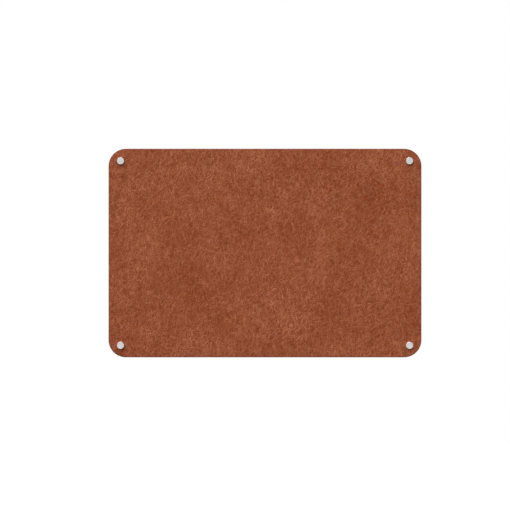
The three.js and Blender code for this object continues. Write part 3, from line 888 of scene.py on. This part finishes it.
def as_mesh(body, name):
    """Writes a bmesh into a new mesh, and frees it."""
    mesh = bpy.data.meshes.new(name)
    body.to_mesh(mesh)
    body.free()
    return mesh


def spun(name, outline, sides):
    """A closed mesh from an outline, spun about the Y axis."""
    body = bmesh.new()
    corners = [body.verts.new((point.x * MM, point.y * MM, 0.0)) for point in softened_outline(outline)]
    for first, second in zip(corners, corners[1:]):
        body.edges.new((first, second))
    if outline[0][0] > 0:
        body.edges.new((corners[-1], corners[0]))
    bmesh.ops.spin(body, geom=body.verts[:] + body.edges[:], cent=(0, 0, 0), axis=(0, 1, 0),
                   angle=math.tau, steps=sides)
    return cleaned(as_mesh(body, name))


print("points closer than", round(SAME_PLACE / MM, 4), "mm are merged")

# %% [markdown]
# Holes and recesses are cut with a boolean. A finished mesh is stood on each of the four axes, after its
# own place on the axis is stored for the materials. An edge stays sharp to the light where its faces
# meet at more than the given angle.

# %% Cut, join and stand in place
def combined(mesh, tool, operation):
    """Cuts a tool out of a mesh, or joins the two."""
    piece, other = shown("work", mesh), shown("tool", tool)
    step = piece.modifiers.new("step", "BOOLEAN")
    step.operation = operation
    step.object = other
    step.solver = "EXACT"
    result = settled(piece).data
    bpy.data.objects.remove(piece)
    bpy.data.objects.remove(other)
    return cleaned(result)


def dress(label, mesh, material, node, body, turn=0.0, sharp=35):
    """Stands a copy of a mesh on each standoff's axis, in place of that standoff's plain piece."""
    mesh.shade_smooth()
    mesh.set_sharp_from_angle(angle=math.radians(sharp))
    mesh.materials.clear()
    mesh.materials.append(material)
    own = mesh.attributes.new("turned", "FLOAT_VECTOR", "POINT")
    places = [0.0] * (3 * len(mesh.vertices))
    mesh.vertices.foreach_get("co", places)
    own.data.foreach_set("vector", places)
    for number, corner in enumerate(CORNERS):
        copy = mesh.copy()
        copy.transform(Matrix.Rotation(turn * (number + 1), 4, "Y"))
        copy.transform(Matrix.Translation(axes[corner]))
        piece = shown(f"{label}_{corner}", copy)
        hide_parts(f"{node}_{corner}")
        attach(piece, f"{body}_{corner}" if body != "board" else body)
    depths = [round(vertex.co.y / MM, 2) for vertex in mesh.vertices]
    print(label, len(mesh.polygons), "faces, from", min(depths), "to", max(depths), "mm")


print("pieces will stand at", len(axes), "corners")

# %% [markdown]
# ## Caps
# The cap is the only metal that the photograph shows: a flat disc turned from bar, with a fine chamfer
# round its face and a blind hole for the stud in its back. It is made as one spun outline. A disc with a
# Bevel modifier would need a second step for the hole.

# %% Make the caps
CAP_SIDES = 128
CAP_CHAMFER, CAP_BACK_CHAMFER = 0.5, 0.3
STUD_HOLE, STUD_HOLE_DEPTH, STUD_HOLE_CHAMFER = 5.3, 3.0, 0.2
cap_radius, cap_front, cap_back = turned_size("cap_top_left")
cap = spun("cap", [
    (0.0, cap_front, 0),
    (cap_radius - CAP_CHAMFER, cap_front, 0.15),
    (cap_radius, cap_front + CAP_CHAMFER, 0.15),
    (cap_radius, cap_back - CAP_BACK_CHAMFER, 0.1),
    (cap_radius - CAP_BACK_CHAMFER, cap_back, 0.1),
    (STUD_HOLE + STUD_HOLE_CHAMFER, cap_back, 0.05),
    (STUD_HOLE, cap_back - STUD_HOLE_CHAMFER, 0.05),
    (STUD_HOLE, cap_back - STUD_HOLE_DEPTH, 0),
    (0.0, cap_back - STUD_HOLE_DEPTH, 0),
], CAP_SIDES)
dress("turned_cap", cap, aluminium, "cap", "cap")

# %% [markdown]
# ## Washers
# A soft ring on each side of the felt keeps the metal from biting into it. They are moulded, so their
# edges are round. A flattened torus would be close, but it has no flat faces to press with. The front
# one is smaller than the cap, and hides under it.

# %% Make the washers
WASHER_SIDES = 96
WASHER_HOLE = 5.5
for label, node, body in (("soft_front_washer", "front_washer", "washer"),
                          ("soft_rear_washer", "rear_washer", "board")):
    radius, front, back = turned_size(f"{node}_top_left")
    washer = spun(node, [(WASHER_HOLE, front, 0.2), (radius, front, 0.3), (radius, back, 0.3),
                         (WASHER_HOLE, back, 0.2)], WASHER_SIDES)
    dress(label, washer, milky, node, body)

# %% [markdown]
# ## Threads
# A screw thread is a rule rather than a shape: every point keeps its radius and climbs one pitch in
# each turn. So the recipe bends a flat sheet. Its columns run round the rod, its rows climb with the
# thread, and so a row stays on one height of the profile, a crest or a root, all the way up. After a
# full turn a row meets the row that lies one turn further on, and merging the two closes the rod. A
# Screw modifier would leave its ends open. The same recipe cuts a female thread when it is used as a
# tap. Some turns are spare, so that the ends can be cut straight across the slanting rows. A thread
# that needs no run-in or point still has one, but it is hardly any, as a range of no width would leave
# no thread. A chamfer wider than the rod does nothing.

# %% Thread recipe: a sheet that climbs
SPARE_TURNS = 4.0
HARDLY_ANY = 0.001 * MM
NO_CHAMFER = 10.0
recipe, given = new_recipe(
    "threaded rod", From=0.0, To=0.025, Phase=0.0, Pitch=0.0015, Crest_Radius=0.005,
    Root_Radius=0.0041, Crest_Share=0.125, Root_Share=0.125, Chamfer_Radius=0.004,
    Run_In=HARDLY_ANY, Point_Length=HARDLY_ANY, Point_Radius=0.004, Sides=64, Rows_a_Turn=8)
span = add(recipe, "ShaderNodeMath", {0: given["To"], 1: given["From"]}, operation="SUBTRACT")
turns = add(recipe, "ShaderNodeMath", {0: span, 1: given["Pitch"]}, operation="DIVIDE")
turns = add(recipe, "ShaderNodeMath", {0: turns}, operation="CEIL")
turns = add(recipe, "ShaderNodeMath", {0: turns, 1: SPARE_TURNS}, operation="ADD")
rows = add(recipe, "ShaderNodeMath", {0: turns, 1: given["Rows a Turn"], 2: 1.0},
           operation="MULTIPLY_ADD")
columns = add(recipe, "ShaderNodeMath", {0: given["Sides"], 1: 1.0}, operation="ADD")
sheet = add(recipe, "GeometryNodeMeshGrid", {"Size X": 1.0, "Size Y": 1.0, "Vertices X": columns,
                                             "Vertices Y": rows})
place = add(recipe, "GeometryNodeInputPosition")
place = add(recipe, "ShaderNodeVectorMath", {0: place, 1: (0.5, 0.5, 0.0)}, operation="ADD")
place = add(recipe, "ShaderNodeSeparateXYZ", {0: place})
turn = place.outputs["X"]
climb = add(recipe, "ShaderNodeMath", {0: place.outputs["Y"], 1: turns, 2: turn},
            operation="MULTIPLY_ADD")
climb = add(recipe, "ShaderNodeMath", {0: climb, 1: SPARE_TURNS / 2}, operation="SUBTRACT")
free_y = add(recipe, "ShaderNodeMath", {0: climb, 1: given["Pitch"], 2: given["From"]},
             operation="MULTIPLY_ADD")
y = add(recipe, "ShaderNodeMath", {0: free_y, 1: given["From"]}, operation="MAXIMUM")
y = add(recipe, "ShaderNodeMath", {0: y, 1: given["To"]}, operation="MINIMUM")
print(recipe.name, "so far:", len(recipe.nodes), "nodes")

# %% [markdown]
# The profile is a ridge with a flat crest, two flanks and a flat root. How far a point is from the
# nearest crest, as a share of the pitch, tells where on it the point lies. A wood screw's thread grows
# out of the plain shank over the length called Run In.

# %% Thread recipe: the profile
phase = add(recipe, "ShaderNodeMath", {0: free_y, 1: given["Phase"]}, operation="SUBTRACT")
phase = add(recipe, "ShaderNodeMath", {0: phase, 1: given["Pitch"]}, operation="DIVIDE")
phase = add(recipe, "ShaderNodeMath", {0: phase, 1: turn}, operation="SUBTRACT")
from_crest = add(recipe, "ShaderNodeMath", {0: phase, 1: 0.5}, operation="PINGPONG")
crest_end = add(recipe, "ShaderNodeMath", {0: given["Crest Share"], 1: 0.5}, operation="MULTIPLY")
root_start = add(recipe, "ShaderNodeMath", {0: given["Root Share"], 1: -0.5, 2: 0.5},
                 operation="MULTIPLY_ADD")
height = add(recipe, "ShaderNodeMapRange", {"Value": from_crest, "From Min": crest_end,
                                            "From Max": root_start, "To Min": 1.0, "To Max": 0.0})
run_end = add(recipe, "ShaderNodeMath", {0: given["From"], 1: given["Run In"]}, operation="ADD")
run_in = add(recipe, "ShaderNodeMapRange", {"Value": y, "From Min": given["From"],
                                            "From Max": run_end})
height = add(recipe, "ShaderNodeMath", {0: height, 1: run_in}, operation="MULTIPLY")
thread_depth = add(recipe, "ShaderNodeMath", {0: given["Crest Radius"], 1: given["Root Radius"]},
                   operation="SUBTRACT")
radius = add(recipe, "ShaderNodeMath", {0: height, 1: thread_depth, 2: given["Root Radius"]},
             operation="MULTIPLY_ADD")
print(recipe.name, "so far:", len(recipe.nodes), "nodes")

# %% [markdown]
# Towards the tip of a wood screw the radius shrinks to that of its point. A cone at both ends gives the
# chamfer that every cut thread has. Rows past either end are drawn in to the axis, which closes them.

# %% Thread recipe: point, chamfers and ends
point_start = add(recipe, "ShaderNodeMath", {0: given["To"], 1: given["Point Length"]},
                  operation="SUBTRACT")
full = add(recipe, "ShaderNodeMapRange", {"Value": y, "From Min": point_start, "From Max": given["To"],
                                          "To Min": 1.0, "To Max": 0.0})
radius = add(recipe, "ShaderNodeMath", {0: radius, 1: given["Point Radius"]}, operation="SUBTRACT")
radius = add(recipe, "ShaderNodeMath", {0: radius, 1: full, 2: given["Point Radius"]},
             operation="MULTIPLY_ADD")
for end, towards in ((given["From"], 1.0), (given["To"], -1.0)):
    inward = add(recipe, "ShaderNodeMath", {0: y, 1: end}, operation="SUBTRACT")
    cone = add(recipe, "ShaderNodeMath", {0: inward, 1: towards, 2: given["Chamfer Radius"]},
               operation="MULTIPLY_ADD")
    radius = add(recipe, "ShaderNodeMath", {0: radius, 1: cone}, operation="MINIMUM")
step = add(recipe, "ShaderNodeMath", {0: given["Pitch"], 1: given["Rows a Turn"]}, operation="DIVIDE")
first = add(recipe, "ShaderNodeMath", {0: given["From"], 1: step}, operation="SUBTRACT")
last = add(recipe, "ShaderNodeMath", {0: given["To"], 1: step}, operation="ADD")
after_first = add(recipe, "ShaderNodeMath", {0: free_y, 1: first}, operation="GREATER_THAN")
before_last = add(recipe, "ShaderNodeMath", {0: free_y, 1: last}, operation="LESS_THAN")
whole = add(recipe, "ShaderNodeMath", {0: after_first, 1: before_last}, operation="MULTIPLY")
radius = add(recipe, "ShaderNodeMath", {0: radius, 1: whole}, operation="MULTIPLY")
print(recipe.name, "so far:", len(recipe.nodes), "nodes")

# %% [markdown]
# At last the sheet is wound round the axis, one turn from its first column to its last, and the seam is
# merged. The helper under the recipe takes lengths in millimetres, as the outlines do.

# %% Thread recipe: wound round the axis
SEAM = 0.002 * MM
angle = add(recipe, "ShaderNodeMath", {0: turn, 1: math.tau}, operation="MULTIPLY")
cosine = add(recipe, "ShaderNodeMath", {0: angle}, operation="COSINE")
sine = add(recipe, "ShaderNodeMath", {0: angle}, operation="SINE")
x = add(recipe, "ShaderNodeMath", {0: radius, 1: cosine}, operation="MULTIPLY")
z = add(recipe, "ShaderNodeMath", {0: radius, 1: sine}, operation="MULTIPLY")
z = add(recipe, "ShaderNodeMath", {0: z, 1: -1.0}, operation="MULTIPLY")
wound = add(recipe, "ShaderNodeCombineXYZ", {"X": x, "Y": y, "Z": z})
rod = add(recipe, "GeometryNodeSetPosition", {"Geometry": sheet, "Position": wound})
rod = add(recipe, "GeometryNodeMergeByDistance", {"Geometry": rod, "Distance": SEAM})
finish_recipe(recipe, given, rod)
thread_recipe = recipe


def threaded(name, lengths, **others):
    """The mesh of a threaded rod, with its lengths given in millimetres."""
    lengths = {label: length * MM for label, length in lengths.items()}
    rod = made(name, thread_recipe, steel, **lengths, **others)
    mesh = cleaned(rod.data)
    bpy.data.objects.remove(rod)
    print(name, len(mesh.polygons), "faces")
    return mesh


# %% [markdown]
# ## Studs
# The stud is a headless M10 screw with a rolled thread. Its rear end has a hexagon socket, with which it
# is driven into the cap and glued there. The socket is an outline spun in six steps, with the cone of
# its drill at the bottom, and is cut out of the rod. The crest begins at the very front, which the
# thread in the barrel follows.

# %% Make the studs
STUD_PITCH, STUD_THREAD, CREST_SHARE = 1.5, 0.9, 0.125
STUD_CHAMFER = 1.0
SOCKET_SIDES = 6
SOCKET_WIDTH, SOCKET_DEPTH, DRILL_CONE = 5.0, 5.0, 0.4
PAST_END = 1.0
stud_radius, stud_front, stud_rear = turned_size("stud_top_left")
first_crest = stud_front + STUD_PITCH * CREST_SHARE / 2
rod = threaded("stud", {
    "From": stud_front, "To": stud_rear, "Phase": first_crest, "Pitch": STUD_PITCH,
    "Crest_Radius": stud_radius, "Root_Radius": stud_radius - STUD_THREAD,
    "Chamfer_Radius": stud_radius - STUD_CHAMFER, "Point_Radius": stud_radius - STUD_CHAMFER,
}, Crest_Share=CREST_SHARE, Root_Share=CREST_SHARE)
socket_radius = SOCKET_WIDTH / 2 / math.cos(math.pi / SOCKET_SIDES)
socket_floor = stud_rear - SOCKET_DEPTH
socket = spun("socket", [
    (0.0, socket_floor - socket_radius * DRILL_CONE, 0),
    (socket_radius, socket_floor, 0),
    (socket_radius, stud_rear + PAST_END, 0),
    (0.0, stud_rear + PAST_END, 0),
], SOCKET_SIDES)
stud = combined(rod, socket, "DIFFERENCE")
dress("threaded_stud", stud, steel, "stud", "cap", sharp=25)

# %% [markdown]
# ## Barrels
# The barrel is the spacer between wall and felt. Its bore is tapped for the stud from the front, and its
# base is countersunk from inside for the wall screw. A shallow relief in its back clears the plug's
# rim. The tap is the stud's own thread, 0.15 mm larger all round, cut out of a spun barrel, which fits
# by itself where a drawn female thread would have to be matched. Its crests lie at the same depths as
# the stud's, so the stud runs freely in it at every turn. Depths are counted from the back, where the
# barrel stands on the wall.

# %% Make the barrels
BARREL_SIDES = 128
BARREL_CHAMFER = 0.5
LEAD_IN_RADIUS, LEAD_IN_DEPTH = 0.25, 0.9
RELIEF_RADIUS, RELIEF_DEPTH = 4.0, 0.5
SCREW_HOLE, SCREW_HOLE_END = 2.3, 1.3
SINK_RADIUS, SINK_TOP, SINK_END = 4.3, 3.3, 4.0
BORE_RADIUS, BORE_END, BORE_CONE = 4.4, 9.0, 0.3
barrel_radius, barrel_front, barrel_back = turned_size("barrel_top_left")
THREAD_CLEARANCE = 0.15
minor = stud_radius - STUD_THREAD + THREAD_CLEARANCE
blank = spun("barrel", [
    (minor, barrel_front + LEAD_IN_DEPTH, 0),
    (stud_radius + LEAD_IN_RADIUS, barrel_front, 0.05),
    (barrel_radius - BARREL_CHAMFER, barrel_front, 0.15),
    (barrel_radius, barrel_front + BARREL_CHAMFER, 0.15),
    (barrel_radius, barrel_back - BARREL_CHAMFER, 0.15),
    (barrel_radius - BARREL_CHAMFER, barrel_back, 0.15),
    (RELIEF_RADIUS, barrel_back, 0.05),
    (RELIEF_RADIUS, barrel_back - RELIEF_DEPTH, 0),
    (SCREW_HOLE, barrel_back - RELIEF_DEPTH, 0.05),
    (SCREW_HOLE, barrel_back - SCREW_HOLE_END, 0),
    (SINK_RADIUS, barrel_back - SINK_TOP, 0),
    (SINK_RADIUS, barrel_back - SINK_END, 0),
    (BORE_RADIUS, barrel_back - SINK_END, 0),
    (BORE_RADIUS, barrel_back - BORE_END, 0),
    (minor, barrel_back - BORE_END - BORE_CONE, 0),
], BARREL_SIDES)
print("barrel", round(2 * barrel_radius, 2), "mm across and", round(barrel_back - barrel_front, 2), "long")

# %% [markdown]
# The tap begins in front of the barrel, whole turns behind the stud's front end, and counts from the
# same first crest, so that both threads stay in step. It ends in the wide bore. Its root is a touch
# smaller than the drilled bore, which leaves no thin skin between the two.

# %% Tap the barrels
TAP_START_TURNS = 8
TAP_END = 8.0
SKIN = 0.02
tap = threaded("tap", {
    "From": stud_front + TAP_START_TURNS * STUD_PITCH, "To": barrel_back - TAP_END,
    "Phase": first_crest, "Pitch": STUD_PITCH, "Crest_Radius": stud_radius + THREAD_CLEARANCE,
    "Root_Radius": minor - SKIN, "Chamfer_Radius": NO_CHAMFER, "Point_Radius": minor - SKIN,
}, Crest_Share=CREST_SHARE, Root_Share=CREST_SHARE)
barrel = combined(blank, tap, "DIFFERENCE")
dress("turned_barrel", barrel, aluminium, "barrel", "board", sharp=30)

# %% [markdown]
# ## Wall screws
# A countersunk wood screw with a cross recess. Its thread is wide and sharp, starts below a plain shank
# and runs out in the point. Head and shank are one spun outline, and the thread comes from the recipe.

# %% Make the wall screws
SHANK_SIDES = 64
SHANK_RADIUS, PLAIN_LENGTH, HEAD_RIM = 1.5, 16.0, 0.4
SCREW_PITCH = 2.2
SCREW_CREST, SCREW_ROOT = 2.0, 1.3
POINT_LENGTH, POINT_RADIUS = 5.0, 0.2
screw_head, screw_top, screw_tip = turned_size("wall_screw_top_left")
thread_start = screw_top + PLAIN_LENGTH
shank = spun("shank", [
    (0.0, screw_top, 0),
    (screw_head, screw_top, 0.1),
    (screw_head, screw_top + HEAD_RIM, 0.1),
    (SHANK_RADIUS, screw_top + HEAD_RIM + screw_head - SHANK_RADIUS, 0.6),
    (SHANK_RADIUS, thread_start + SCREW_PITCH, 0.1),
    (0.0, thread_start + SCREW_PITCH, 0),
], SHANK_SIDES)
thread = threaded("wood thread", {
    "From": thread_start, "To": screw_tip, "Phase": thread_start, "Pitch": SCREW_PITCH,
    "Crest_Radius": SCREW_CREST, "Root_Radius": SCREW_ROOT, "Chamfer_Radius": NO_CHAMFER,
    "Run_In": SCREW_PITCH, "Point_Length": POINT_LENGTH, "Point_Radius": POINT_RADIUS,
}, Crest_Share=0.06, Root_Share=0.5, Sides=32, Rows_a_Turn=12)
screw = combined(shank, thread, "UNION")
print("wall screw", round(screw_tip - screw_top, 2), "mm long")

# %% [markdown]
# The recess is cut by a cross of two arms that narrow downwards, as the driver's do. Each arm is the
# hull of its two end faces. The four screws are turned differently, since a screw stops where it is
# tight.

# %% Cut the cross recess
ARM_TOP, ARM_FLOOR = (2.1, 0.5), (0.9, 0.25)
ABOVE_HEAD, RECESS_DEPTH = 0.5, 2.2
arm_ends = ((ARM_TOP, screw_top - ABOVE_HEAD), (ARM_FLOOR, screw_top + RECESS_DEPTH))
for quarter in range(2):
    arm = bmesh.new()
    ends = [(x * long * MM, y * MM, z * wide * MM) for (long, wide), y in arm_ends for x, z in SQUARE]
    bmesh.ops.convex_hull(arm, input=[arm.verts.new(end) for end in ends])
    bmesh.ops.rotate(arm, verts=arm.verts, matrix=Matrix.Rotation(quarter * math.pi / 2, 3, "Y"))
    bmesh.ops.recalc_face_normals(arm, faces=arm.faces)
    screw = combined(screw, as_mesh(arm, "recess arm"), "DIFFERENCE")
dress("countersunk_screw", screw, steel, "wall_screw", "board", turn=0.7, sharp=30)

# %% [markdown]
# ## Wall plugs
# The plug is a moulded sleeve whose barbs narrow towards its nose, and a slit lets the screw spread
# it. It sits in the wall, where nothing of it is seen, but it is a real piece of the object. A loop
# writes the barbs into the outline, and a thin block cuts the slit.

# %% Make the wall plugs
PLUG_SIDES = 64
PLUG_BORE = 2.3
BARBS, BARB_SPACING, BARB_HEIGHT = 4, 5.0, 0.3
NECK, NOSE_CHAMFER = 6.0, 0.3
SLIT_START, SLIT_LENGTH, SLIT_WIDTH, SLIT_ACROSS = 8.0, 32.0, 0.8, 10.0
plug_radius, plug_mouth, plug_nose = turned_size("wall_plug_top_left")
barbs = []
for number in range(BARBS):
    y = plug_mouth + NECK + (number + 1) * BARB_SPACING
    barbs += [(plug_radius - BARB_HEIGHT, y, 0), (plug_radius, y, 0.05)]
plug = spun("plug", [
    (PLUG_BORE, plug_mouth, 0.1),
    (plug_radius, plug_mouth, 0.1),
    (plug_radius, plug_mouth + NECK, 0.05),
    *barbs,
    (plug_radius - NOSE_CHAMFER, plug_nose, 0.2),
    (PLUG_BORE, plug_nose, 0.1),
], PLUG_SIDES)
slit = bmesh.new()
bmesh.ops.create_cube(slit, size=1.0, matrix=Matrix.Translation(
    (0.0, (SLIT_START + SLIT_LENGTH / 2) * MM, 0.0)) @ Matrix.Diagonal(
    (SLIT_ACROSS * MM, SLIT_LENGTH * MM, SLIT_WIDTH * MM, 1.0)))
plug = combined(plug, as_mesh(slit, "slit"), "DIFFERENCE")
dress("barbed_plug", plug, nylon, "wall_plug", "board", turn=0.5)
